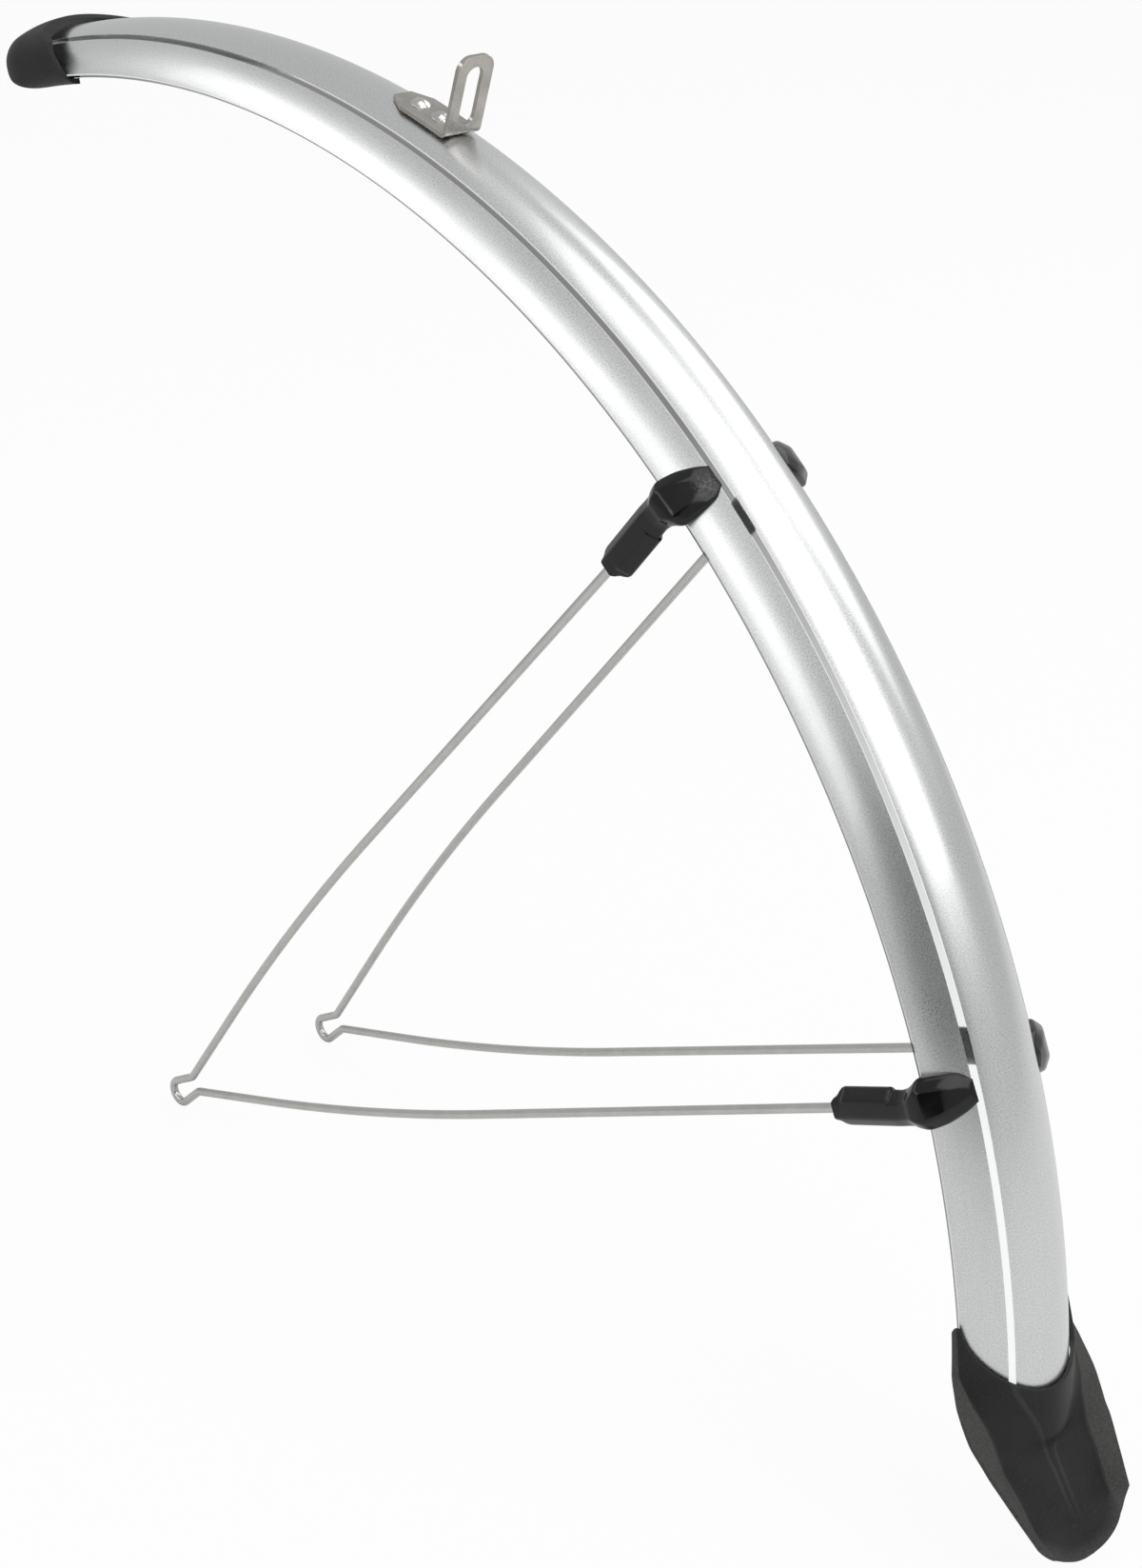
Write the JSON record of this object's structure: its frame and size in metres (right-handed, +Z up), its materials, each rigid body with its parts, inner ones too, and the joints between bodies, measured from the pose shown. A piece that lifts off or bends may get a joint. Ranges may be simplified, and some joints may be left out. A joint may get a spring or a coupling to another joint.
{
  "type": "bicycle mudguard",
  "caption": "Front bicycle mudguard: curved silver blade with clear lines, black front cap and mud flap, slotted crown bracket, and bent wire stays with open eyelets held in black clips.",
  "frame": {"origin": "middle of the crown bracket's slot, on the tab's front face that meets the fork crown", "axes": "+X to the rear of the bicycle, +Y to the rider's right, +Z up; the wheel axle lies below the origin"},
  "size_m": [0.4874, 0.072, 0.3995],
  "materials": {
    "clear_plastic": "clear gloss",
    "silver_foil": "fine satin under a clear gloss",
    "black_moulding": "matte, fine grain",
    "clip_plastic": "satin",
    "steel_sheet": "rolled stainless sheet",
    "rivet_steel": "bright domed heads",
    "stay_wire": "drawn stainless wire",
    "screw_steel": "plain"
  },
  "bodies": {
    "root": {"blade": "clear_plastic", "foil_crown": "silver_foil", "foil_flank_left": "silver_foil", "foil_flank_right": "silver_foil", "front_cap": "black_moulding", "mud_flap": "black_moulding", "crown_bracket": "steel_sheet", "bracket_rivets": "rivet_steel", "rivet_washers": "rivet_steel", "stay_left": "stay_wire", "stay_right": "stay_wire", "clip_upper_left": "clip_plastic", "clip_upper_right": "clip_plastic", "clip_lower_left": "clip_plastic", "clip_lower_right": "clip_plastic", "clip_screws": "screw_steel"}
  },
  "joints": []
}
